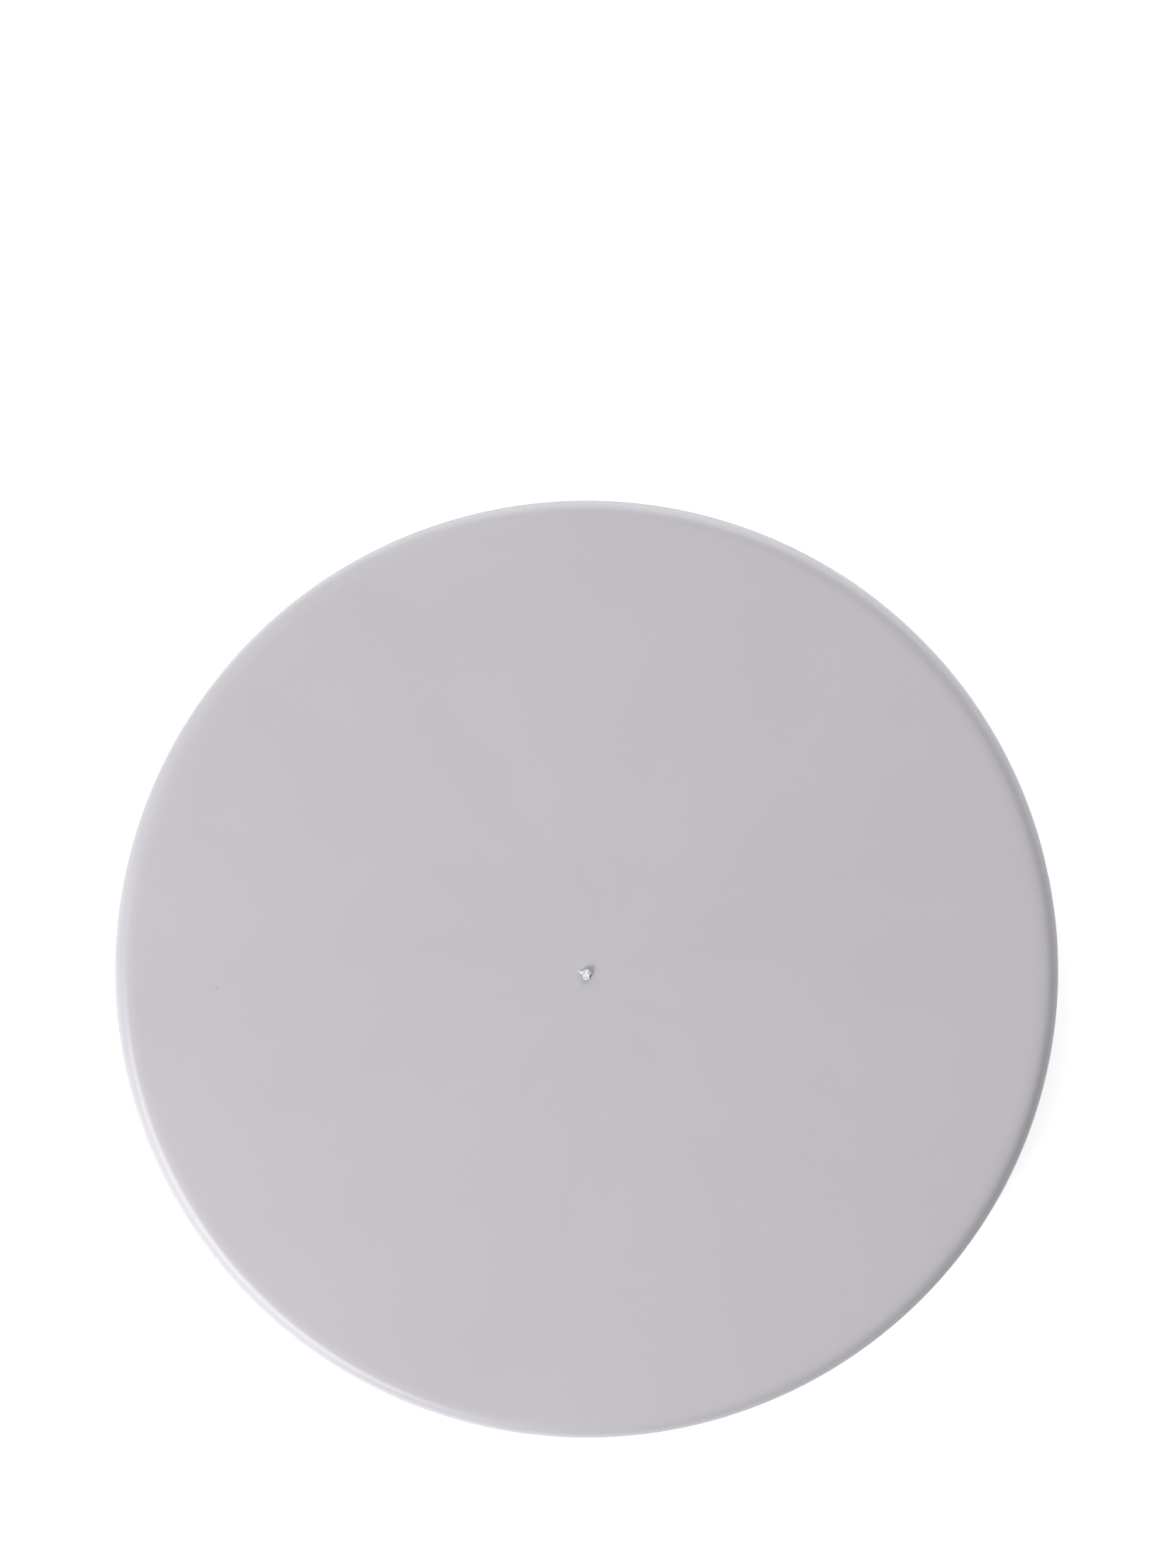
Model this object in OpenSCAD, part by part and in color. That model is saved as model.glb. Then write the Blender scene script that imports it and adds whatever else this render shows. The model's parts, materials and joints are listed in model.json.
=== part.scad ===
// Lazy susan turntable: a smooth round plate that turns on a ring of balls above a smaller base.
// Millimetres, +Z up. The origin is on the table under the centre, and +Z is the turning axis.
// The plate and the base are both moulded as shallow dishes that open downwards, ribbed inside.
// Each is a profile in radius and height, revolved, with its ribs added.

/* [Plate] */
// Diameter of the turning plate
plate_d = 300; // [280:5:340]
// Height of the serving face above the table
overall_h = 30; // [28:1:34]
// Thickness of the plate's floor
plate_t = 3; // [2.5:0.25:3.5]
// Radius of the rounded corner around the serving face
edge_r = 4.8; // [3:0.2:6]
// Radius of the gentle shoulder between the face and that corner
shoulder_r = 20; // [12:1:30]
// Angle that the shoulder tips over before the corner starts
shoulder_lean = 8; // [2:1:12]
// Height of the skirt, from the serving face down
skirt_h = 14; // [12:1:20]
// Thickness of the skirt
skirt_t = 2.6; // [2:0.2:3]
// Width of the moulding gate's stub at the middle of the serving face
gate_d = 2.8; // [2:0.2:4]
// Height of the gate's stub
gate_h = 1.7; // [0.8:0.1:2.4]

/* [Base] */
// Diameter of the base
base_d = 220; // [216:2:230]
// Thickness of the base's floor
base_t = 3; // [2.5:0.25:3.5]
// Thickness of the base's outer wall
base_wall = 2.6; // [2:0.2:3]
// Radius of the rounded edge around the base's top
base_edge_r = 3; // [1:0.5:4]

/* [Ball bearing] */
// Diameter of a ball
ball_d = 8; // [6:1:9]
// Number of balls
ball_count = 16; // [8:2:20]
// Radius of the circle that the balls' centres run on
pitch_r = 96; // [92:1:96]
// Depth of the groove that the balls run in
groove_depth = 1.2; // [0.8:0.2:1.4]
// Thickness of the ring that keeps the balls apart
cage_t = 4; // [3:0.5:4]

/* [Pivot] */
// Diameter of the plate's journal, which turns in the base
journal_d = 14; // [12:1:16]
// Thread diameter of the pivot screw
screw_d = 4; // [3:0.5:5]
// Diameter of the washer that keeps the plate on the base
washer_d = 20; // [19:0.5:22]

/* [Feet] */
// Number of rubber feet
foot_count = 6; // [3:1:8]
// Diameter of a foot
foot_d = 14; // [10:1:14]
// Height of a foot below the base
foot_stand = 2; // [1.5:0.5:3]

/* [Hidden] */
$fn = 96;

// Running gaps
ball_gap = 0.02; // ball to the bottom of its groove
pocket_gap = 0.15; // ball to its pocket in the cage
journal_gap = 0.08; // journal to its bore, on the radius
end_play = 0.3; // washer to the base's ledge

// The bearing stack, worked out downwards from the serving face
ball_r = ball_d / 2;
groove_r = ball_r * 1.06;
land_w = 16; // width of the band that carries a groove
land_t = 3.2; // what is left of the plate above its groove
plate_r = plate_d / 2;
plate_under_z = overall_h - plate_t;
skirt_z = overall_h - skirt_h;
plate_groove_z = overall_h - land_t;
plate_land_z = plate_groove_z - groove_depth;
shoulder_start_r = plate_r - edge_r - (shoulder_r - edge_r) * sin(shoulder_lean);
corner_start_r = plate_r - edge_r + edge_r * sin(shoulder_lean);
corner_z = overall_h - shoulder_r + (shoulder_r - edge_r) * cos(shoulder_lean);
ball_z = plate_groove_z - ball_gap - ball_r;
base_land_z = 2 * ball_z - plate_land_z;
base_r = base_d / 2;
base_under_z = base_land_z - base_t;

// Pivot
journal_r = journal_d / 2;
hub_r = washer_d / 2 + 3;
hub_top_z = base_land_z + 2;
well_r = washer_d / 2 + 0.6; // the recess that holds the washer and the screw's head
ledge_z = 13.4; // underside of the base's ledge, where the washer catches
washer_t = 1.2;
washer_z = ledge_z - end_play - washer_t;
journal_z = washer_z + washer_t;
pilot_r = screw_d / 2 - 0.25;
screw_head_r = screw_d;
screw_head_h = 2.4;
screw_length = 11;
thread_pitch = 1;

// Feet and ribs
foot_seat = 1.5; // how far a foot sits in its cup
foot_pitch_r = 96;
cup_r = foot_d / 2 + 2;
rib_t = 2;
plate_rib_h = 4;
plate_rib_count = 12;
skirt_gusset_gap = 4; // bare skirt left below the outer ribs' gussets
base_rib_z = foot_stand + 1;
base_inner_rib_count = 12;
base_outer_rib_count = 24;
inner_ring_r = 40;
outer_ring_r = 70;
plate_ring_r = 50;
sink = 0.5; // how far joined shapes run into each other

// Node names
function numbered(stem, count) = [for (i = [1:count]) str(stem, i < 10 ? "_0" : "_", i)];
BALLS = numbered("ball", ball_count);
FEET = numbered("foot", foot_count);

// The web between a square corner and the arc that rounds it, on the side of the corner that `way`
// points to. Taken away from a shape it rounds an outer corner, and added it fillets an inner one.
module corner(at, r, way) {
    centre = [at.x - way.x * r, at.y - way.y * r];
    difference() {
        translate(centre)
            scale([way.x, way.y])
                square(r + sink);
        translate(centre)
            circle(r);
    }
}

// A rectangle in the profile, from radius r1 to r2 and from height z1 to z2
module band(r1, r2, z1, z2) {
    translate([r1, z1])
        square([r2 - r1, z2 - z1]);
}

// Profile of a dish that opens downwards: a floor on top, a wall around it, and a rounded lip.
// The outer corner at the top is left square.
module dish_profile(r, wall, top_z, floor_t, low_z, inner_corner) {
    lip = wall * 0.3;
    difference() {
        union() {
            band(0, r, top_z - floor_t, top_z);
            band(r - wall, r, low_z, top_z);
            corner([r - wall, top_z - floor_t], inner_corner, [1, 1]);
        }
        corner([r, low_z], lip, [1, -1]);
        corner([r - wall, low_z], lip, [-1, -1]);
    }
}

// Upright plates set radially. `side` is one plate's outline in radius and height.
module radial_ribs(count, start, side) {
    for (i = [0:count - 1])
        rotate([90, 0, start + i * 360 / count])
            linear_extrude(rib_t, center = true)
                polygon(side);
}

// Stands its children at each of `count` places around a circle
module around(count, r) {
    for (i = [0:count - 1])
        rotate(i * 360 / count)
            translate([r, 0, 0])
                children();
}

// What the plate's rounded edge takes off: a long gentle arc, then a tight one tangent to it
module plate_edge() {
    difference() {
        band(shoulder_start_r, corner_start_r, corner_z, overall_h + sink);
        translate([shoulder_start_r, overall_h - shoulder_r])
            circle(shoulder_r);
    }
    difference() {
        band(corner_start_r, plate_r + sink, corner_z, overall_h + sink);
        translate([plate_r - edge_r, corner_z])
            circle(edge_r);
    }
}

module plate_profile() {
    difference() {
        union() {
            dish_profile(plate_r, skirt_t, overall_h, plate_t, skirt_z,
                         max(edge_r - skirt_t, 1));
            band(pitch_r - land_w / 2, pitch_r + land_w / 2, plate_land_z, plate_under_z + sink);
            band(plate_ring_r - rib_t / 2, plate_ring_r + rib_t / 2,
                 plate_under_z - plate_rib_h / 2, plate_under_z + sink);
            band(0, journal_r, journal_z, plate_under_z + sink);
        }
        translate([pitch_r, plate_groove_z - groove_r])
            circle(groove_r);
        band(0, pilot_r, journal_z - sink, journal_z + screw_length);
        plate_edge();
    }
}

// The gate's stub: the small cone of plastic left where the mould was filled
module gate_stub() {
    translate([0, 0, overall_h - sink])
        cylinder(r = gate_d / 2, h = sink + gate_h / 2);
    translate([0, 0, overall_h + gate_h / 2])
        cylinder(r1 = gate_d / 2, r2 = gate_d / 4, h = gate_h / 2);
}

module top_plate() {
    land_in = pitch_r - land_w / 2;
    land_out = pitch_r + land_w / 2;
    rib_z = plate_under_z - plate_rib_h;
    skirt_in = plate_r - skirt_t;
    color([0.77, 0.76, 0.79]) {
        rotate_extrude()
            plate_profile();
        gate_stub();
        radial_ribs(plate_rib_count, 0, [
            [journal_r - sink, rib_z],
            [land_in - plate_rib_h, rib_z],
            [land_in + sink, plate_land_z],
            [land_in + sink, plate_under_z + sink],
            [journal_r - sink, plate_under_z + sink]
        ]);
        radial_ribs(plate_rib_count, 180 / plate_rib_count, [
            [land_out - sink, plate_land_z],
            [land_out + plate_rib_h, rib_z],
            [skirt_in - plate_rib_h, rib_z],
            [skirt_in + sink, skirt_z + skirt_gusset_gap],
            [skirt_in + sink, plate_under_z + sink],
            [land_out - sink, plate_under_z + sink]
        ]);
    }
}

module base_profile() {
    difference() {
        union() {
            dish_profile(base_r, base_wall, base_land_z, base_t, foot_stand,
                         max(base_edge_r - base_wall, 1));
            band(pitch_r - land_w / 2, pitch_r + land_w / 2,
                 base_under_z - groove_depth, base_under_z + sink);
            for (r = [inner_ring_r, outer_ring_r])
                band(r - rib_t / 2, r + rib_t / 2, base_rib_z, base_under_z + sink);
            band(0, hub_r, foot_stand, hub_top_z);
            corner([hub_r, base_land_z], 1, [-1, -1]);
        }
        translate([pitch_r, 2 * ball_z - plate_groove_z + groove_r])
            circle(groove_r);
        band(0, journal_r + journal_gap, foot_stand - sink, hub_top_z + sink);
        band(0, well_r, foot_stand - sink, ledge_z);
        corner([base_r, base_land_z], base_edge_r, [1, 1]);
        corner([hub_r, hub_top_z], 1, [1, 1]);
    }
}

// A tube under the base's floor that grips a foot, with a cross inside that the foot bears on
module foot_cup() {
    cup_h = base_under_z + sink - foot_stand;
    seat_z = foot_stand + foot_seat;
    difference() {
        translate([0, 0, foot_stand])
            cylinder(r = cup_r, h = cup_h);
        translate([0, 0, foot_stand - sink])
            cylinder(r = foot_d / 2 + 0.1, h = cup_h + sink);
    }
    for (turn = [0, 90])
        rotate(turn)
            translate([-cup_r + sink, -rib_t / 2, seat_z])
                cube([2 * (cup_r - sink), rib_t, base_under_z + sink - seat_z]);
}

module base() {
    color([0.74, 0.73, 0.76])
        difference() {
            union() {
                rotate_extrude()
                    base_profile();
                radial_ribs(base_inner_rib_count, 0, [
                    [hub_r - sink, base_rib_z],
                    [outer_ring_r, base_rib_z],
                    [outer_ring_r, base_under_z + sink],
                    [hub_r - sink, base_under_z + sink]
                ]);
                radial_ribs(base_outer_rib_count, 0, [
                    [outer_ring_r, base_rib_z],
                    [base_r - base_wall + sink, base_rib_z],
                    [base_r - base_wall + sink, base_under_z + sink],
                    [outer_ring_r, base_under_z + sink]
                ]);
                around(foot_count, foot_pitch_r)
                    foot_cup();
            }
            around(foot_count, foot_pitch_r)
                translate([0, 0, foot_stand - sink])
                    cylinder(r = foot_d / 2 + 0.1, h = foot_seat + sink);
        }
}

// The flat ring that keeps the balls apart. Its round pockets close over the balls, so it hangs on
// them clear of the plate and the base. Slots between the pockets take out spare plastic.
module ball_cage() {
    slot_w = 5;
    slot_length = 0.4 * 2 * PI * pitch_r / ball_count;
    color([0.93, 0.92, 0.88])
        difference() {
            translate([0, 0, ball_z - cage_t / 2])
                rotate_extrude()
                    difference() {
                        band(pitch_r - land_w / 2 + 1, pitch_r + land_w / 2 - 1, 0, cage_t);
                        for (side = [-1, 1], end = [0, 1])
                            corner([pitch_r + side * (land_w / 2 - 1), end * cage_t], 0.6,
                                   [side, 2 * end - 1]);
                    }
            around(ball_count, pitch_r)
                translate([0, 0, ball_z])
                    sphere(ball_r + pocket_gap);
            rotate(180 / ball_count)
                around(ball_count, pitch_r)
                    translate([0, 0, ball_z - cage_t])
                        tangent_slot(slot_w, slot_length, 2 * cage_t);
        }
}

// An upright slot-shaped bar, long across the radius
module tangent_slot(w, length, h) {
    straight = length - w;
    translate([-w / 2, -straight / 2, 0])
        cube([w, straight, h]);
    for (end = [-1, 1])
        translate([0, end * straight / 2, 0])
            cylinder(r = w / 2, h = h);
}

module ball() {
    color([0.72, 0.73, 0.75])
        sphere(ball_r);
}

// Pan-head screw, driven up from below into the journal, with its thread drawn as plain rings
module pivot_screw() {
    crest_r = screw_d / 2;
    root_r = crest_r - 0.4;
    thread_count = floor((screw_length - 3) / thread_pitch);
    thread_z = washer_z + washer_t + 1;
    tip_z = thread_z + thread_count * thread_pitch;
    head_z = washer_z - screw_head_h;
    thread = [for (i = [0:thread_count - 1], step = [0, 0.5])
        [step == 0 ? root_r : crest_r, thread_z + (i + step) * thread_pitch]];
    color([0.70, 0.71, 0.72])
        difference() {
            rotate_extrude() {
                difference() {
                    band(0, screw_head_r, head_z, washer_z);
                    corner([screw_head_r, head_z], 1.4, [1, -1]);
                }
                polygon(concat(
                    [[0, washer_z - sink], [root_r, washer_z - sink]],
                    thread,
                    [[root_r, tip_z], [0, tip_z + root_r]]
                ));
            }
            for (turn = [0, 90])
                rotate(turn)
                    translate([-screw_head_r * 0.55, -0.45, head_z - sink])
                        cube([screw_head_r * 1.1, 0.9, sink + 1.3]);
        }
}

module pivot_washer() {
    color([0.70, 0.71, 0.72])
        rotate_extrude()
            difference() {
                band(screw_d / 2 + 0.15, washer_d / 2, washer_z, washer_z + washer_t);
                corner([washer_d / 2, washer_z], 0.3, [1, -1]);
                corner([washer_d / 2, washer_z + washer_t], 0.3, [1, 1]);
            }
}

// Rubber foot: a round pad with a softened lower edge and a shallow dimple underneath
module foot() {
    foot_r = foot_d / 2;
    dimple_r = 2.5;
    color([0.25, 0.25, 0.27])
        rotate_extrude()
            difference() {
                band(0, foot_r, 0, foot_stand + foot_seat);
                corner([foot_r, 0], 0.8, [1, -1]);
                band(0, dimple_r, -sink, 0.5);
            }
}

top_plate();
base();
ball_cage();
pivot_screw();
pivot_washer();
for (i = [0:ball_count - 1])
    rotate(i * 360 / ball_count)
            translate([pitch_r, 0, ball_z])
                ball();
for (i = [0:foot_count - 1])
    rotate(i * 360 / foot_count)
            translate([foot_pitch_r, 0, 0])
                foot();
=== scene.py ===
"""Looks of the lazy susan turntable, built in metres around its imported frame, +Z up.

The mouldings are lathed from the same profiles as the CAD parts, finer and with draft and softened
edges. The steel parts and the ball cage keep their CAD shapes. The key light stands at the lower
left of the picture and a wide softbox beyond its top. The camera is almost straight overhead.
"""

import json
import math

import bmesh
import bpy
from mathutils import Matrix, Vector, noise


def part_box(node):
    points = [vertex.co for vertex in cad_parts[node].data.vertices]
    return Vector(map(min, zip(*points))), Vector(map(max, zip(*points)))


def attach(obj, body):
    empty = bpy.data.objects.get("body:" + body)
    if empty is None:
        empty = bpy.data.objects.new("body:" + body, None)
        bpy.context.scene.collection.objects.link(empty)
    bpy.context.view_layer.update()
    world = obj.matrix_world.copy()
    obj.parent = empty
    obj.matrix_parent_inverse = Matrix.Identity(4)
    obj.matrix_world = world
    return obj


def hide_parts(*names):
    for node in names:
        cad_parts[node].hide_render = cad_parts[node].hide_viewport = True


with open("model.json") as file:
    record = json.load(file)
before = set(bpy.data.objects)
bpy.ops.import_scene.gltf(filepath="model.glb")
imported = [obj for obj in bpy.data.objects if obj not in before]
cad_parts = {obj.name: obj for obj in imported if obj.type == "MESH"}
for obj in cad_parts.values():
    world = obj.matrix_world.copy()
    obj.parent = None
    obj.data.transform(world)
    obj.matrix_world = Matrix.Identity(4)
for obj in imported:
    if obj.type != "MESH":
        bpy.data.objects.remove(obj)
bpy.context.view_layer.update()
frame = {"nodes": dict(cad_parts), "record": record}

MM = 0.001
TURN = 2 * math.pi
SEGMENTS = 288  # around a moulding
SHARP = math.radians(32)  # edges sharper than this aren't smoothed over

# Sizes in millimetres, as in the CAD model. Heights come from the frame.
low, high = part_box("top_plate")
PLATE_R = high.x / MM
mount_places = {mount["name"]: mount["pos_m"] for mount in frame["record"]["mounts"]}
FACE_Z = mount_places["serving_face"][2] / MM
PLATE_T = 3
EDGE_R = 4.8
SHOULDER_R = 20
SHOULDER_DEG = 8  # how far the face tips over on its shoulder before the corner
SKIRT_Z = FACE_Z - 14
SKIRT_T = 2.6
GUSSET_GAP = 4  # from the foot of an outer rib, where it meets the skirt, down to the skirt's rim
JOURNAL_Z = low.z / MM
JOURNAL_R = 7
PILOT_R = 1.75
PILOT_DEPTH = 11
UNDER_Z = FACE_Z - PLATE_T
LAND_DEPTH = 1.4
GROOVE_R = 4.24
GROOVE_DEPTH = 1.2
LAND_HALF = 8
RIB_T = 2
RIB_THINS_OVER = 8  # how far from its root a rib goes on thinning
RIB_DRAFT = 0.25  # the share of its thickness that it loses over that distance
RIB_SINK = 0.8  # how far a rib is sunk into what it grows from
PLATE_RIB_H = 4
PLATE_RING_R = 50

low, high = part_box("ball_cage")
BALL_Z = (low.z + high.z) / 2 / MM
low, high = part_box("ball_01")
PITCH_R = (low.x + high.x) / 2 / MM
GROOVE_Z = BALL_Z + (high.z - low.z) / 2 / MM + 0.02

low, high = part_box("base")
BASE_R = high.x / MM
BASE_LOW_Z = low.z / MM
HUB_TOP_Z = high.z / MM
BASE_TOP_Z = HUB_TOP_Z - 2
BASE_T = 3
BASE_WALL = 2.6
BASE_EDGE_R = 3
BASE_UNDER_Z = BASE_TOP_Z - BASE_T
BASE_RIB_Z = BASE_LOW_Z + 1
HUB_R = 13
BORE_R = 7.08
WELL_R = 10.6
LEDGE_Z = 13.4
RING_RS = (40, 70)

low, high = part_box("foot_01")
FOOT_R = (high.x - low.x) / 2 / MM
FOOT_H = high.z / MM
FOOT_PITCH_R = (low.x + high.x) / 2 / MM
FOOT_GAP = 0.1  # around a foot in its well
CUP_WALL = 2
FEET = sorted(name for name in frame["nodes"] if name.startswith("foot_"))
BALLS = sorted(name for name in frame["nodes"] if name.startswith("ball_") and name != "ball_cage")


# ---------------------------------------------------------------------------------- outlines
def arc(centre, r, start, end, steps):
    """Points on an arc, with angles in degrees, anticlockwise if end is above start."""
    angles = [math.radians(start + (end - start) * i / steps) for i in range(steps + 1)]
    return [(centre[0] + r * math.cos(a), centre[1] + r * math.sin(a)) for a in angles]


def softened(points, radii, steps=4):
    """The outline with each corner rounded by its radius, or left alone where the radius is 0."""
    made = []
    count = len(points)
    for i, (corner, r) in enumerate(zip(points, radii)):
        if r == 0:
            made.append(corner)
            continue
        here = Vector(corner)
        back = (Vector(points[i - 1]) - here).normalized()
        on = (Vector(points[(i + 1) % count]) - here).normalized()
        half = back.angle(on) / 2
        reach = r / math.tan(half)
        centre = here + (back + on).normalized() * (r / math.sin(half))
        first = here + back * reach - centre
        last = here + on * reach - centre
        for k in range(steps + 1):
            t = k / steps
            made.append(tuple(centre + first.lerp(last, t).normalized() * r))
    return made


# ---------------------------------------------------------------------------------- meshes
def mesh_object(name, bm):
    """A new object from bm, smooth except at its sharp edges. bm is in millimetres."""
    bmesh.ops.scale(bm, vec=(MM, MM, MM), verts=bm.verts)
    bmesh.ops.recalc_face_normals(bm, faces=bm.faces)
    mesh = bpy.data.meshes.new(name)
    bm.to_mesh(mesh)
    bm.free()
    made = bpy.data.objects.new(name, mesh)
    bpy.context.scene.collection.objects.link(made)
    smooth(mesh)
    return made


def smooth(mesh):
    """Smooth shading, split at the edges where the surface turns by more than SHARP."""
    bm = bmesh.new()
    bm.from_mesh(mesh)
    for face in bm.faces:
        face.smooth = True
    for edge in bm.edges:
        edge.smooth = len(edge.link_faces) == 2 and edge.calc_face_angle(math.pi) < SHARP
    bm.to_mesh(mesh)
    bm.free()


def lathe(outline, segments=SEGMENTS):
    """Revolves a closed outline of (radius, height) about Z. Points on the axis become one vertex."""
    bm = bmesh.new()
    rings = []
    for r, z in outline:
        if r < 1e-6:
            rings.append([bm.verts.new((0, 0, z))] * segments)
            continue
        angles = [TURN * j / segments for j in range(segments)]
        rings.append([bm.verts.new((r * math.cos(a), r * math.sin(a), z)) for a in angles])
    for ring, after in zip(rings, rings[1:] + rings[:1]):
        for j in range(segments):
            k = (j + 1) % segments
            corners = []
            for vert in (ring[j], ring[k], after[k], after[j]):
                if vert not in corners:
                    corners.append(vert)
            if len(corners) > 2:
                bm.faces.new(corners)
    return bm


def add_rib(bm, turn, side, root_z):
    """Adds an upright plate along the radius at angle `turn`, with `side` as its outline. It thins
    away from root_z."""
    spin = Matrix.Rotation(turn, 3, "Z")
    faces = []
    for way in (-1, 1):
        verts = []
        for r, z in side:
            depth = min(abs(z - root_z) / RIB_THINS_OVER, 1)
            half = way * RIB_T / 2 * (1 - RIB_DRAFT * depth)
            verts.append(bm.verts.new(spin @ Vector((r, half, z))))
        faces.append(verts)
        bm.faces.new(verts if way < 0 else verts[::-1])
    count = len(side)
    for i in range(count):
        k = (i + 1) % count
        bm.faces.new((faces[0][i], faces[1][i], faces[1][k], faces[0][k]))


def combine(target, tool, operation):
    """Applies a boolean of tool to target, then deletes tool."""
    modifier = target.modifiers.new("boolean", "BOOLEAN")
    modifier.object = tool
    modifier.operation = operation
    modifier.solver = "EXACT"
    shape = target.evaluated_get(bpy.context.evaluated_depsgraph_get())
    mesh = bpy.data.meshes.new_from_object(shape)
    target.modifiers.clear()
    old = target.data
    target.data = mesh
    bpy.data.meshes.remove(old)
    bpy.data.objects.remove(tool)
    smooth(target.data)
    target.data.name = target.name


def dress(piece, body, material, node):
    """Gives a new piece its material and its body, and hides the CAD node that it stands for."""
    piece.data.materials.clear()
    piece.data.materials.append(material)
    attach(piece, body)
    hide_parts(node)


# ---------------------------------------------------------------------------------- materials
def add_node(tree, kind, inputs=None, **settings):
    """Adds a shader node. An input's value is a number, a colour or another node's output."""
    made = tree.nodes.new(kind)
    for key, value in settings.items():
        setattr(made, key, value)
    for key, value in (inputs or {}).items():
        if isinstance(value, bpy.types.NodeSocket):
            tree.links.new(value, made.inputs[key])
        else:
            made.inputs[key].default_value = value
    return made


def start_material(name, roughness, metallic=0.0):
    """A new material with its node tree, its shader and its object coordinates, in metres."""
    material = bpy.data.materials.new(name)
    material.use_nodes = True
    tree = material.node_tree
    shader = tree.nodes["Principled BSDF"]
    shader.inputs["Roughness"].default_value = roughness
    shader.inputs["Metallic"].default_value = metallic
    place = add_node(tree, "ShaderNodeTexCoord").outputs["Object"]
    return material, tree, shader, place


def noise_at(tree, place, size, detail, roughness=0.5):
    """Noise from 0 to 1 whose blotches are about `size` metres across."""
    made = add_node(tree, "ShaderNodeTexNoise", {
        "Vector": place, "Scale": 1 / size, "Detail": detail, "Roughness": roughness})
    return made.outputs["Fac"]


def spread(tree, value, low_in, high_in, low_out, high_out):
    """Maps value from one range to another, held at the ends."""
    made = add_node(tree, "ShaderNodeMapRange", {
        "Value": value, "From Min": low_in, "From Max": high_in,
        "To Min": low_out, "To Max": high_out})
    return made.outputs["Result"]


def mix_colour(tree, factor, a, b):
    """Colour a where factor is 0, b where it is 1."""
    made = add_node(tree, "ShaderNodeMix", data_type="RGBA")
    for socket, value in zip((made.inputs[0], made.inputs[6], made.inputs[7]), (factor, a, b)):
        if isinstance(value, bpy.types.NodeSocket):
            tree.links.new(value, socket)
        else:
            socket.default_value = value
    return made.outputs[2]


def math_node(tree, operation, a, b):
    """The result of one operation on two values."""
    return add_node(tree, "ShaderNodeMath", {0: a, 1: b}, operation=operation).outputs[0]


def bump(tree, height, distance, strength=1.0, under=None):
    """Normals for relief `distance` metres deep, on top of the relief `under`."""
    inputs = {"Height": height, "Distance": distance, "Strength": strength}
    if under is not None:
        inputs["Normal"] = under
    return add_node(tree, "ShaderNodeBump", inputs).outputs["Normal"]


def specks(tree, place, spacing, size, share):
    """1 at scattered specks of about `size` metres across, one to a cell in a `share` of cells."""
    cells = add_node(tree, "ShaderNodeTexVoronoi", {"Vector": place, "Scale": 1 / spacing})
    inside = math_node(tree, "LESS_THAN", cells.outputs["Distance"], size / spacing / 2)
    pick = add_node(tree, "ShaderNodeSeparateColor", {"Color": cells.outputs["Color"]})
    chosen = math_node(tree, "LESS_THAN", pick.outputs["Red"], share)
    return math_node(tree, "MULTIPLY", inside, chosen)


def flow_marks(tree, place):
    """Noise from 0 to 1 in streaks that wander out from the middle, as the plastic flowed.

    It depends on the direction from the middle, so it runs outwards. `bend` is how far the streaks
    wander from straight lines, and `drift` is how fast the noise changes along them."""
    bend = 0.7
    drift = 3
    flat = add_node(tree, "ShaderNodeVectorMath", {0: place, 1: (1, 1, 0)}, operation="MULTIPLY")
    flat = flat.outputs["Vector"]
    reach = add_node(tree, "ShaderNodeVectorMath", {0: flat}, operation="LENGTH").outputs["Value"]
    lift = add_node(tree, "ShaderNodeCombineXYZ", {"Z": math_node(tree, "MULTIPLY", reach, drift)})
    way = add_node(tree, "ShaderNodeVectorMath", {0: flat}, operation="NORMALIZE")
    wander = add_node(tree, "ShaderNodeTexNoise", {"Vector": place, "Scale": 15, "Detail": 1})
    bent = add_node(tree, "ShaderNodeVectorMath",
                    {0: wander.outputs["Color"], 1: (bend, bend, bend), 2: way.outputs["Vector"]},
                    operation="MULTIPLY_ADD")
    streak = add_node(tree, "ShaderNodeVectorMath",
                      {0: bent.outputs["Vector"], 1: lift.outputs["Vector"]}, operation="ADD")
    return noise_at(tree, streak.outputs["Vector"], 0.3, 3)


def polished_plastic():
    """The plate: light grey moulded plastic, slightly lilac, with faint clouds and flow marks, tiny
    specks and the very shallow ripple of a large flat moulding. The gate's stub is near white, partly
    because torn plastic whitens and partly as a painted highlight."""
    material, tree, shader, place = start_material("polished_plastic", 0.3)
    cloud = math_node(tree, "ADD", noise_at(tree, place, 0.07, 3), flow_marks(tree, place))
    cloud = spread(tree, cloud, 0.65, 1.35, 0, 1)
    colour = mix_colour(tree, cloud, (0.477, 0.461, 0.496, 1), (0.493, 0.479, 0.509, 1))
    dirt = specks(tree, place, 0.04, 0.0007, 0.5)
    colour = mix_colour(tree, math_node(tree, "MULTIPLY", dirt, 0.35), colour, (0.2, 0.19, 0.19, 1))
    # Painted highlight, in part: the gate's stub turns near white above the face. This is partly the
    # whitening of torn plastic and partly stands in for the key light falling on the stub.
    height = add_node(tree, "ShaderNodeSeparateXYZ", {"Vector": place}).outputs["Z"]
    torn = spread(tree, height, (FACE_Z + 0.02) * MM, (FACE_Z + 0.3) * MM, 0, 1)
    colour = mix_colour(tree, torn, colour, (0.73, 0.73, 0.74, 1))
    tree.links.new(colour, shader.inputs["Base Color"])
    handled = spread(tree, noise_at(tree, place, 0.03, 4, 0.6), 0.35, 0.75, 0.285, 0.34)
    tree.links.new(handled, shader.inputs["Roughness"])
    ripple = bump(tree, noise_at(tree, place, 0.045, 1), 0.00006)
    grain = bump(tree, noise_at(tree, place, 0.0006, 2), 0.0000012, 1.0, ripple)
    tree.links.new(grain, shader.inputs["Normal"])
    return material


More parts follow.
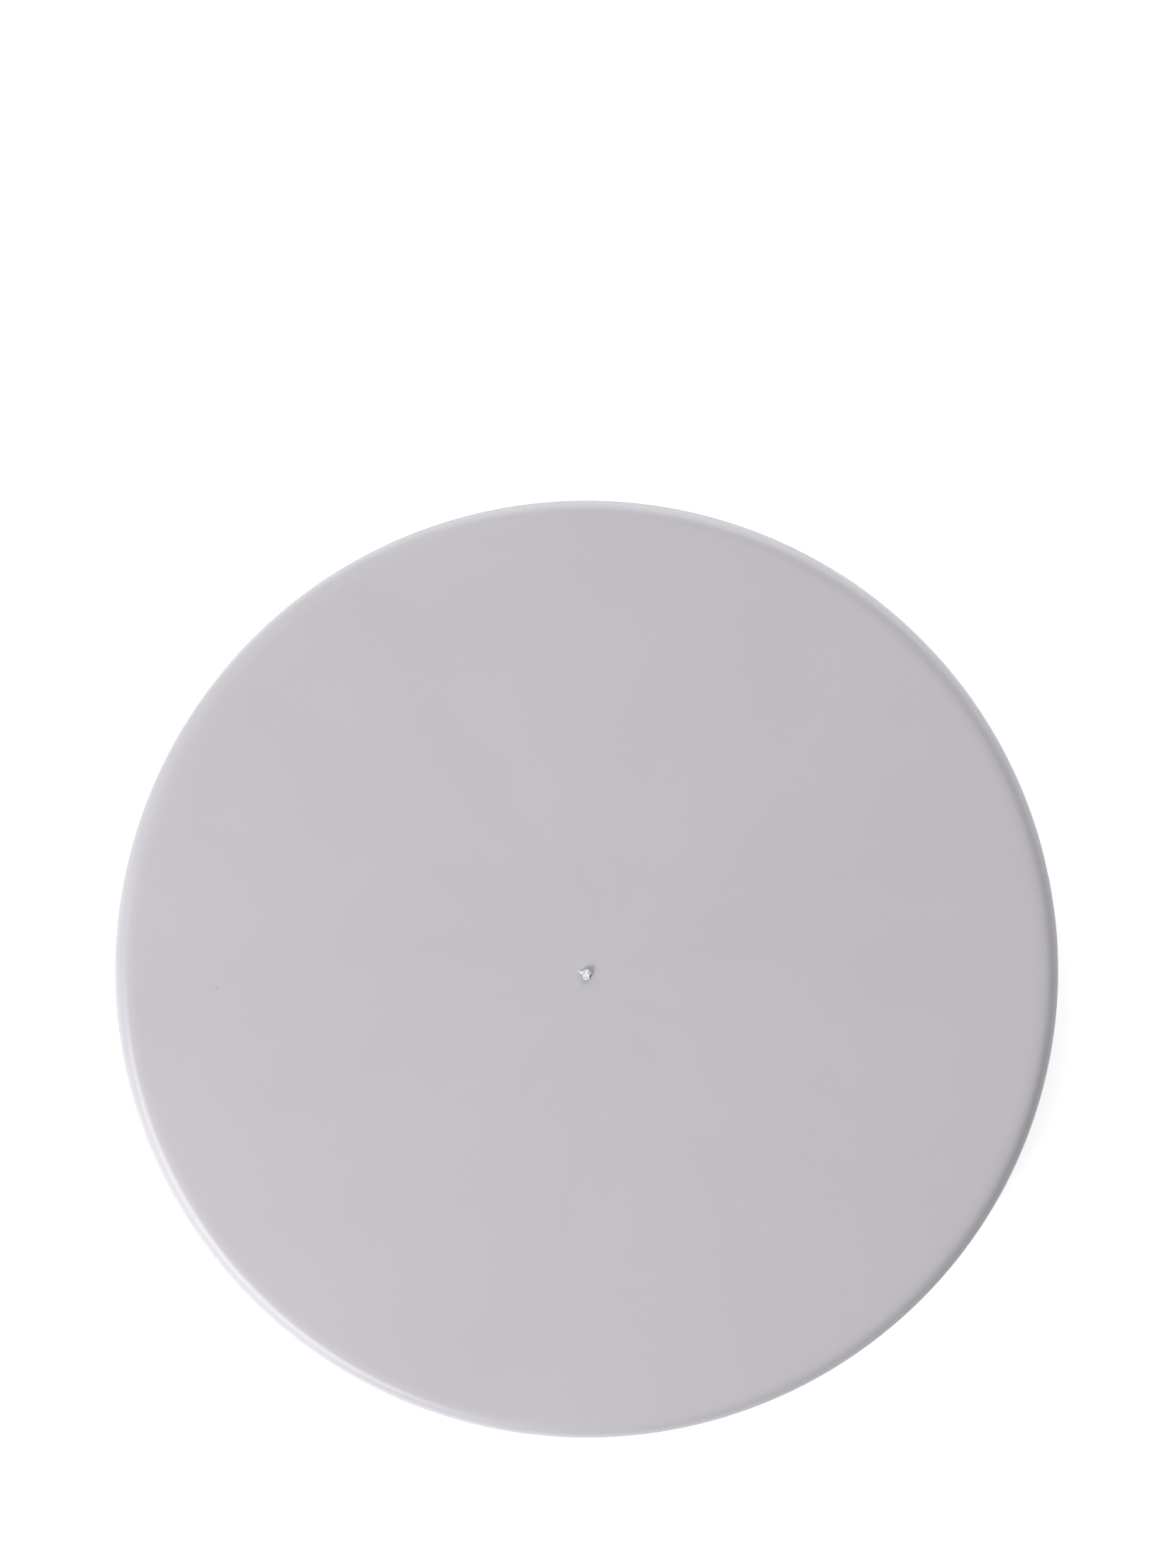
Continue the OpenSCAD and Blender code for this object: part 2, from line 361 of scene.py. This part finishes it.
def textured_plastic():
    """The base: the same plastic from a spark-eroded mould, matt and finely grained."""
    material, tree, shader, place = start_material("textured_plastic", 0.45)
    cloud = spread(tree, noise_at(tree, place, 0.04, 3), 0.3, 0.7, 0, 1)
    colour = mix_colour(tree, cloud, (0.435, 0.423, 0.452, 1), (0.455, 0.443, 0.47, 1))
    tree.links.new(colour, shader.inputs["Base Color"])
    tree.links.new(spread(tree, cloud, 0, 1, 0.4, 0.5), shader.inputs["Roughness"])
    grain = bump(tree, noise_at(tree, place, 0.0004, 3, 0.6), 0.00002, 0.6)
    tree.links.new(grain, shader.inputs["Normal"])
    return material


def natural_plastic():
    """The ball cage: uncoloured plastic, off-white and a little waxy."""
    material, tree, shader, place = start_material("natural_plastic", 0.35)
    cloud = noise_at(tree, place, 0.02, 3)
    tree.links.new(mix_colour(tree, cloud, (0.76, 0.74, 0.66, 1), (0.84, 0.82, 0.75, 1)),
                   shader.inputs["Base Color"])
    shader.inputs["Subsurface Weight"].default_value = 0.15
    shader.inputs["Subsurface Scale"].default_value = 0.002
    tree.links.new(bump(tree, noise_at(tree, place, 0.001, 2), 0.00001, 0.4), shader.inputs["Normal"])
    return material


def ball_steel():
    """Polished bearing steel with the faint haze of grease."""
    material, tree, shader, place = start_material("ball_steel", 0.1, 1.0)
    haze = noise_at(tree, place, 0.003, 3)
    tree.links.new(mix_colour(tree, haze, (0.56, 0.56, 0.57, 1), (0.66, 0.66, 0.66, 1)),
                   shader.inputs["Base Color"])
    tree.links.new(spread(tree, haze, 0.3, 0.7, 0.06, 0.18), shader.inputs["Roughness"])
    return material


def zinc_steel():
    """Zinc-plated fasteners: bright, slightly blue and yellow, with fine drag marks."""
    material, tree, shader, place = start_material("zinc_steel", 0.3, 1.0)
    tint = noise_at(tree, place, 0.004, 2)
    tree.links.new(mix_colour(tree, tint, (0.55, 0.58, 0.62, 1), (0.66, 0.65, 0.58, 1)),
                   shader.inputs["Base Color"])
    grain = noise_at(tree, place, 0.0005, 3)
    tree.links.new(spread(tree, grain, 0.3, 0.7, 0.22, 0.4), shader.inputs["Roughness"])
    tree.links.new(bump(tree, grain, 0.000008, 0.5), shader.inputs["Normal"])
    return material


def foot_rubber():
    """Dark moulded rubber, matt, greyed with a little dust."""
    material, tree, shader, place = start_material("foot_rubber", 0.8)
    dust = spread(tree, noise_at(tree, place, 0.003, 4, 0.65), 0.45, 0.75, 0, 1)
    tree.links.new(mix_colour(tree, dust, (0.028, 0.028, 0.03, 1), (0.075, 0.073, 0.07, 1)),
                   shader.inputs["Base Color"])
    tree.links.new(spread(tree, dust, 0, 1, 0.65, 0.9), shader.inputs["Roughness"])
    tree.links.new(bump(tree, noise_at(tree, place, 0.0003, 3), 0.00003, 0.6),
                   shader.inputs["Normal"])
    return material


# ---------------------------------------------------------------------------------- the plate
GATE_R = 1.6
GATE_H = 1.7
SPUR_TURN = math.radians(157)
SPUR_REACH = 1.2
DIMPLE_R = 13
DIMPLE_DEPTH = 0.05


def gate_height(x, y):
    """Height of the face near its middle: the torn stub of the gate, in a very shallow dimple."""
    r = math.hypot(x, y)
    turn = math.atan2(y, x)
    dimple = -DIMPLE_DEPTH * max(0, 1 - (r / DIMPLE_R) ** 2) ** 2
    # How far out the stub reaches in this direction: a lumpy round, with the spur on it
    edge = GATE_R * (1 + 0.1 * math.sin(3 * turn) - 0.12 * math.cos(2 * turn - 0.2)
                     + 0.06 * math.cos(5 * turn - 1.1))
    off = math.remainder(turn - SPUR_TURN, TURN)
    edge += SPUR_REACH * math.exp(-(off / 0.2) ** 2)
    if r >= edge:
        return dimple
    # The wall rises over the outer fifth, the top is torn and the spur falls away outwards
    wall = min(1, (1 - r / edge) * 5) ** 0.5
    torn = 0.8 + 0.4 * noise.noise(Vector((x * 1.7, y * 1.7, 4.2)))
    along_spur = max(0, r - GATE_R) / SPUR_REACH
    return dimple + GATE_H * wall * min(torn, 1) * (1 - 0.7 * min(along_spur, 1))


def plate_outline():
    """Outline of the plate's section, from the middle of its face out, round and back under."""
    # Rings on the face: close together at the stub, wider over the dimple and wide on the flat
    fine = [GATE_R * 2.2 * i / 40 for i in range(41)]
    coarse = [4, 5, 6.5, 8, 10, 12, 14, 20, 35, 60, 85, 105, 125, 138, 141]
    lean = math.radians(SHOULDER_DEG)
    shoulder_at = PLATE_R - EDGE_R - (SHOULDER_R - EDGE_R) * math.sin(lean)
    edge_at = FACE_Z - SHOULDER_R + (SHOULDER_R - EDGE_R) * math.cos(lean)
    shoulder = arc((shoulder_at, FACE_Z - SHOULDER_R), SHOULDER_R, 90, 90 - SHOULDER_DEG, 10)
    edge = shoulder + arc((PLATE_R - EDGE_R, edge_at), EDGE_R, 90 - SHOULDER_DEG, 0, 24)[1:]
    land_z = UNDER_Z - LAND_DEPTH
    skirt_in = PLATE_R - SKIRT_T
    half = math.degrees(math.acos((land_z - GROOVE_Z + GROOVE_R) / GROOVE_R))
    groove = arc((PITCH_R, GROOVE_Z - GROOVE_R), GROOVE_R, 90 - half, 90 + half, 12)
    below = [
        (PLATE_R, SKIRT_Z),
        (skirt_in, SKIRT_Z),
        (skirt_in, UNDER_Z),
        (PITCH_R + LAND_HALF, UNDER_Z),
        (PITCH_R + LAND_HALF, land_z),
    ]
    inner = [
        (PITCH_R - LAND_HALF, land_z),
        (PITCH_R - LAND_HALF, UNDER_Z),
        (PLATE_RING_R + RIB_T / 2, UNDER_Z),
        (PLATE_RING_R + RIB_T / 2, UNDER_Z - PLATE_RIB_H / 2),
        (PLATE_RING_R - RIB_T / 2, UNDER_Z - PLATE_RIB_H / 2),
        (PLATE_RING_R - RIB_T / 2, UNDER_Z),
        (JOURNAL_R, UNDER_Z),
        (JOURNAL_R, JOURNAL_Z),
        (PILOT_R, JOURNAL_Z),
        (PILOT_R, JOURNAL_Z + PILOT_DEPTH),
        (0, JOURNAL_Z + PILOT_DEPTH),
    ]
    face = [(r, FACE_Z) for r in fine + coarse]
    outline = face + edge + below + groove + inner
    radii = (
        [0] * (len(face) + len(edge))
        + [0.78, 0.78, 3.4, 0.5, 0.3]
        + [0] * len(groove)
        + [0.3, 0.5, 0.5, 0.4, 0.4, 0.5, 1, 0.5, 0.3, 0, 0]
    )
    return softened(outline, radii)


def make_plate():
    """The plate: a lathed shell with the gate's stub, and ribs on both sides of the ball groove."""
    bm = lathe(plate_outline())
    for vert in bm.verts:
        if vert.co.z > FACE_Z - 0.01:
            vert.co.z += gate_height(vert.co.x, vert.co.y)
    plate = mesh_object("plate", bm)
    ribs = bmesh.new()
    rib_z = UNDER_Z - PLATE_RIB_H
    sink = UNDER_Z + RIB_SINK
    land_in = PITCH_R - LAND_HALF
    land_out = PITCH_R + LAND_HALF
    skirt_in = PLATE_R - SKIRT_T
    # A rib's ends are sunk into the journal, the groove's land and the skirt. It stops just short
    # of the land's face, so that no two faces coincide in a boolean
    journal_mid = JOURNAL_R - 1
    first_land = land_in + 0.6
    last_land = land_out - 0.6
    skirt_mid = skirt_in + 0.7
    land_z = UNDER_Z - LAND_DEPTH + 0.02
    inner = [(journal_mid, rib_z), (land_in - PLATE_RIB_H, rib_z), (first_land, land_z),
             (first_land, sink), (journal_mid, sink)]
    outer = [(last_land, land_z), (land_out + PLATE_RIB_H, rib_z),
             (skirt_in - PLATE_RIB_H, rib_z), (skirt_mid, SKIRT_Z + GUSSET_GAP),
             (skirt_mid, sink), (last_land, sink)]
    for i in range(12):
        add_rib(ribs, TURN * i / 12, inner, UNDER_Z)
        add_rib(ribs, TURN * (i + 0.5) / 12, outer, UNDER_Z)
    combine(plate, mesh_object("plate_ribs", ribs), "UNION")
    return plate


# ---------------------------------------------------------------------------------- the base
def base_outline():
    """Outline of the base's section, from the hub's bore out, round and back under."""
    half = math.degrees(math.acos((GROOVE_R - GROOVE_DEPTH) / GROOVE_R))
    groove_z = 2 * BALL_Z - GROOVE_Z
    groove = arc((PITCH_R, groove_z + GROOVE_R), GROOVE_R, 270 - half, 270 + half, 12)
    wall_in = BASE_R - BASE_WALL
    thick_z = BASE_UNDER_Z - GROOVE_DEPTH
    first = [(BORE_R, LEDGE_Z), (BORE_R, HUB_TOP_Z), (HUB_R, HUB_TOP_Z), (HUB_R, BASE_TOP_Z)]
    rim = [
        (BASE_R, BASE_TOP_Z),
        (BASE_R, BASE_LOW_Z),
        (wall_in, BASE_LOW_Z),
        (wall_in, BASE_UNDER_Z),
        (PITCH_R + LAND_HALF, BASE_UNDER_Z),
        (PITCH_R + LAND_HALF, thick_z),
        (PITCH_R - LAND_HALF, thick_z),
        (PITCH_R - LAND_HALF, BASE_UNDER_Z),
    ]
    rings = []
    for r in reversed(RING_RS):
        rings += [(r + RIB_T / 2, BASE_UNDER_Z), (r + RIB_T / 2, BASE_RIB_Z),
                  (r - RIB_T / 2, BASE_RIB_Z), (r - RIB_T / 2, BASE_UNDER_Z)]
    last = [(HUB_R, BASE_UNDER_Z), (HUB_R, BASE_LOW_Z), (WELL_R, BASE_LOW_Z), (WELL_R, LEDGE_Z)]
    radii = (
        [0.3, 0.4, 1, 1] + [0] * len(groove) + [BASE_EDGE_R, 0.78, 0.78, 1, 0.5, 0.5, 0.5, 0.5]
        + [0.5, 0.4, 0.4, 0.5] * len(RING_RS) + [1, 0.5, 0.4, 0.3]
    )
    return softened(first + groove + rim + rings + last, radii)


def make_base():
    """The base: a lathed shell with ribs below, and a cup with a well in it for each foot."""
    base = mesh_object("base_shell", lathe(base_outline()))
    ribs = bmesh.new()
    sink = BASE_UNDER_Z + RIB_SINK
    split = RING_RS[1]
    wall_in = BASE_R - BASE_WALL
    hub_in = HUB_R - RIB_SINK
    wall_mid = wall_in + RIB_SINK
    # Rings and ribs end at slightly different heights, for the same reason as in the plate
    inner_z = BASE_RIB_Z + 0.02
    outer_z = BASE_RIB_Z + 0.03
    inner = [(hub_in, inner_z), (split, inner_z), (split, sink), (hub_in, sink)]
    outer = [(split, outer_z), (wall_mid, outer_z), (wall_mid, sink), (split, sink)]
    for i in range(12):
        add_rib(ribs, TURN * i / 12, inner, BASE_UNDER_Z)
    combine(base, mesh_object("base_inner_ribs", ribs), "UNION")
    ribs = bmesh.new()
    for i in range(24):
        add_rib(ribs, TURN * i / 24, outer, BASE_UNDER_Z)
    combine(base, mesh_object("base_outer_ribs", ribs), "UNION")
    cup_r = FOOT_R + CUP_WALL
    well_r = FOOT_R + FOOT_GAP
    below = BASE_LOW_Z - 1
    cups = bmesh.new()
    wells = bmesh.new()
    for i in range(len(FEET)):
        spin = Matrix.Rotation(TURN * i / len(FEET), 4, "Z")
        place = spin @ Matrix.Translation((FOOT_PITCH_R, 0, 0))
        cup = lathe(softened([(0, BASE_LOW_Z), (cup_r, BASE_LOW_Z), (cup_r, sink), (0, sink)],
                             [0, 0.4, 0, 0]), 64)
        well = lathe(softened([(0, below), (well_r, below), (well_r, FOOT_H), (0, FOOT_H)],
                              [0, 0, 0.2, 0]), 64)
        for part, whole in ((cup, cups), (well, wells)):
            part.transform(place)
            held = bpy.data.meshes.new("held")
            part.to_mesh(held)
            part.free()
            whole.from_mesh(held)
            bpy.data.meshes.remove(held)
    combine(base, mesh_object("base_cups", cups), "UNION")
    combine(base, mesh_object("base_wells", wells), "DIFFERENCE")
    return base


# ---------------------------------------------------------------------------------- the feet
def make_feet(material):
    """Rubber feet: round pads with softened edges, a fine step near the rim and a dimple below."""
    outline = softened(
        [(0, 0.5), (2.5, 0.5), (2.7, 0), (FOOT_R - 0.5, 0), (FOOT_R - 0.2, 1.5), (FOOT_R, 1.7),
         (FOOT_R, FOOT_H), (0, FOOT_H)],
        [0, 0.1, 0.1, 0.6, 0.2, 0.1, 0.2, 0])
    first = mesh_object("rubber_foot", lathe(outline, 96))
    mesh = first.data
    bpy.data.objects.remove(first)
    for i, name in enumerate(FEET):
        foot = bpy.data.objects.new(f"rubber_{name}", mesh.copy())
        bpy.context.scene.collection.objects.link(foot)
        spin = Matrix.Rotation(TURN * i / len(FEET), 4, "Z")
        foot.data.transform(spin @ Matrix.Translation((FOOT_PITCH_R * MM, 0, 0)))
        dress(foot, "stand", material, name)


# ---------------------------------------------------------------------------------- the studio
ROOM_R = 12  # metres, as everything in the studio is
ROOM_H = 8
NEAR_GLOW = 0.6  # keeps the shadow that the camera sees faint, as on a light table
FAR_GLOW = 1.1  # far from the plate, where the softboxes light the floor less
BOUNCE_GLOW = 0.2  # lifts the underside and the reflections in the skirt
BOUNCE_DROP = 0.0005  # keeps the two floors apart
SOFTBOX_REACH = 1.5  # from each softbox to the middle of the plate's face


def area_light(name, place, aim, width, height, watts):
    """A rectangular light that faces `aim` and that the camera doesn't see."""
    data = bpy.data.lights.new(name, "AREA")
    data.shape = "RECTANGLE"
    data.size = width
    data.size_y = height
    data.energy = watts
    light = bpy.data.objects.new(name, data)
    light.location = place
    light.rotation_euler = (Vector(aim) - Vector(place)).to_track_quat("-Z", "Y").to_euler()
    light.visible_camera = False
    bpy.context.scene.collection.objects.link(light)
    return light


def panel(name, turn, rise, width, height, lit, shine):
    """A softbox that faces the plate, `rise` degrees above its face and `turn` degrees round from
    +X. `lit` is its brightness for what it lights and `shine` for how it shows in reflections,
    where 1 would show as white. The key's bright core and the far box shine more weakly than they
    light, so that their mirror images bleach the face in fewer low views: only in those from
    opposite the key, whose image also makes the bright line on the edge."""
    flat = SOFTBOX_REACH * math.cos(math.radians(rise))
    aim = (0, 0, FACE_Z * MM)
    place = (flat * math.cos(math.radians(turn)), flat * math.sin(math.radians(turn)),
             aim[2] + SOFTBOX_REACH * math.sin(math.radians(rise)))
    for part, level in (("lit", lit), ("shine", shine)):
        if level:
            watts = math.pi * width * height * level
            light = area_light(f"{name}_{part}", place, aim, width, height, watts)
            light.visible_diffuse = part == "lit"
            light.visible_glossy = part == "shine"


def stage_piece(name, bm):
    """A pale matt piece of the stage. Its glow is still to be set, on the shader it returns."""
    piece = mesh_object(name, bm)
    material, tree, shader, place = start_material(name, 0.7)
    shade = mix_colour(tree, noise_at(tree, place, 0.8, 2), (0.86, 0.86, 0.86, 1), (0.9, 0.9, 0.9, 1))
    tree.links.new(shade, shader.inputs["Base Color"])
    shader.inputs["Specular IOR Level"].default_value = 0.2
    shader.inputs["Emission Color"].default_value = (1, 1, 1, 1)
    piece.data.materials.append(material)
    return piece, tree, shader, place


def make_floor():
    """A wide pale floor in a round white room, for the camera alone. It casts and bounces nothing."""
    room = [(0, 0), (ROOM_R / MM, 0), (ROOM_R / MM, ROOM_H / MM), (0, ROOM_H / MM)]
    floor, tree, shader, place = stage_piece("floor", lathe(room, 96))
    reach = add_node(tree, "ShaderNodeVectorMath", {0: place}, operation="LENGTH").outputs["Value"]
    tree.links.new(spread(tree, reach, 1, 3, NEAR_GLOW, FAR_GLOW), shader.inputs["Emission Strength"])
    floor.visible_diffuse = False
    floor.visible_glossy = False
    floor.visible_shadow = False


def make_bounce_floor():
    """The floor as the object meets it, for bounced light, reflections and shadows alone."""
    bm = bmesh.new()
    bmesh.ops.create_circle(bm, cap_ends=True, segments=96, radius=ROOM_R / MM)
    floor, _, shader, _ = stage_piece("bounce_floor", bm)
    floor.location.z = -BOUNCE_DROP
    shader.inputs["Emission Strength"].default_value = BOUNCE_GLOW
    floor.visible_camera = False


def make_lights():
    """A dim sky and the softboxes. +Y is up in the picture, so the key stands at its lower left.

    The key is four panels: a wide one and a bright core that light, and two that are only its image
    in reflections."""
    world = bpy.data.worlds.new("studio")
    world.use_nodes = True
    world.node_tree.nodes["Background"].inputs["Color"].default_value = (0.95, 0.97, 1, 1)
    world.node_tree.nodes["Background"].inputs["Strength"].default_value = 0.1
    bpy.context.scene.world = world
    panel("key_softbox", 223, 40, 1.2, 1.6, 1.85, 0)
    panel("key_core", 228, 30, 0.5, 0.5, 20, 0)
    panel("key_image", 225, 32, 1.2, 1.6, 0, 2)
    panel("key_image_core", 225, 36, 1.4, 0.5, 0, 4.5)
    panel("far_softbox", 75, 30, 2.4, 0.8, 3.5, 1)
    panel("far_low_softbox", 112, 9, 3, 0.5, 0.3, 0.3)
    panel("left_softbox", 160, 30, 2.2, 0.8, 0.84, 0.84)
    panel("right_softbox", 20, 40, 1.2, 0.6, 0.46, 0.46)


def make_camera():
    """Almost straight overhead: the eye stands towards +Y, and +Y is up in the picture."""
    tilt = math.radians(7.98)
    distance = 5
    aim_y = 0.061  # how far past the plate's middle the lens points, which sets it low in the picture
    side = 0.00045  # how far to the right the camera stands
    face = Vector((side, 0, FACE_Z * MM))
    data = bpy.data.cameras.new("camera")
    data.lens = 361.3
    data.sensor_width = 36
    data.clip_start = 0.1
    data.clip_end = 20
    camera = bpy.data.objects.new("camera", data)
    camera.location = face + distance * Vector((0, math.sin(tilt), math.cos(tilt)))
    run = camera.location.y - aim_y
    camera.rotation_euler = (-math.atan2(run, camera.location.z - face.z), 0, 0)
    bpy.context.scene.collection.objects.link(camera)
    bpy.context.scene.camera = camera


make_camera()
make_floor()
make_bounce_floor()
make_lights()
bpy.context.scene.view_settings.view_transform = "Standard"

dress(make_plate(), "turntable", polished_plastic(), "top_plate")
dress(make_base(), "stand", textured_plastic(), "base")
make_feet(foot_rubber())
looks = {"ball_cage": natural_plastic()}
looks.update(dict.fromkeys(("pivot_screw", "pivot_washer"), zinc_steel()))
looks.update(dict.fromkeys(BALLS, ball_steel()))
for name, material in looks.items():
    frame["nodes"][name].material_slots[0].material = material
